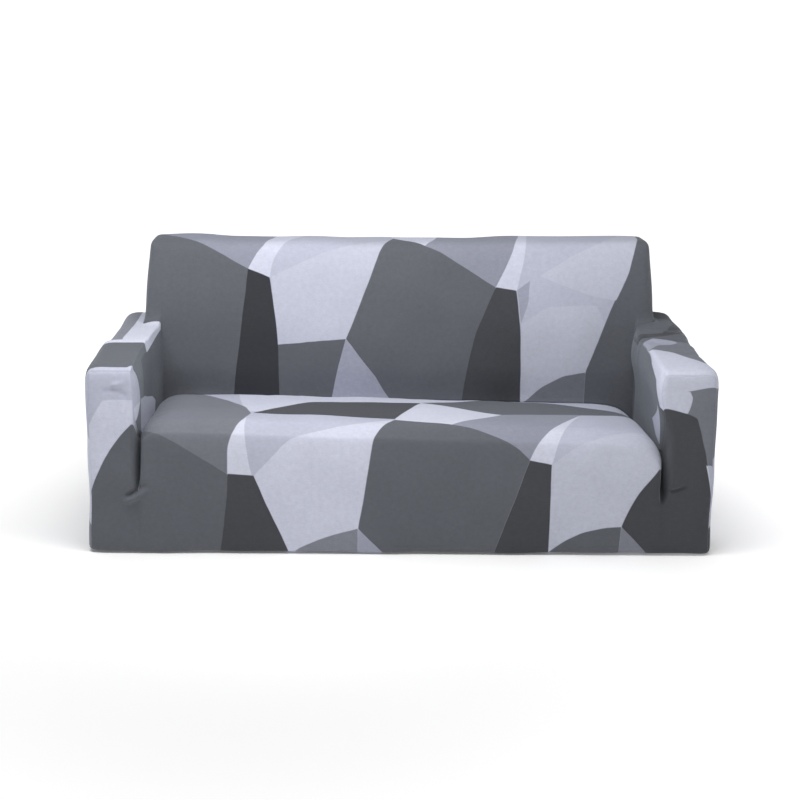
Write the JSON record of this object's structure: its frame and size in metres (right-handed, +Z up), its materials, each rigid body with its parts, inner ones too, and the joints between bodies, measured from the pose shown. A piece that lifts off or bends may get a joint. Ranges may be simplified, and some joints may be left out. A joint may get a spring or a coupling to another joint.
{
  "type": "sofa slipcover",
  "caption": "Fitted stretch slipcover for a small sofa with arms, hollow and open underneath, tucked in round the seat, with its hem turned under.",
  "frame": {"origin": "underside of the cloth at the middle of the top of the back, where the cover hangs", "axes": "+X to the right as seen from the front, along the cover's width, +Y from the seat's front to the back, +Z up"},
  "size_m": [1.7164, 0.8054, 0.7596],
  "materials": {
    "printed_knit": "matt stretch knit printed with large angular patches in dark slate, mid grey, light grey and pale lavender"
  },
  "bodies": {
    "root": {"seat_front_panel": "printed_knit", "inside_back_panel": "printed_knit", "outside_back_panel": "printed_knit", "left_arm_panel": "printed_knit", "right_arm_panel": "printed_knit", "left_arm_rear_panel": "printed_knit", "right_arm_rear_panel": "printed_knit"}
  },
  "joints": []
}
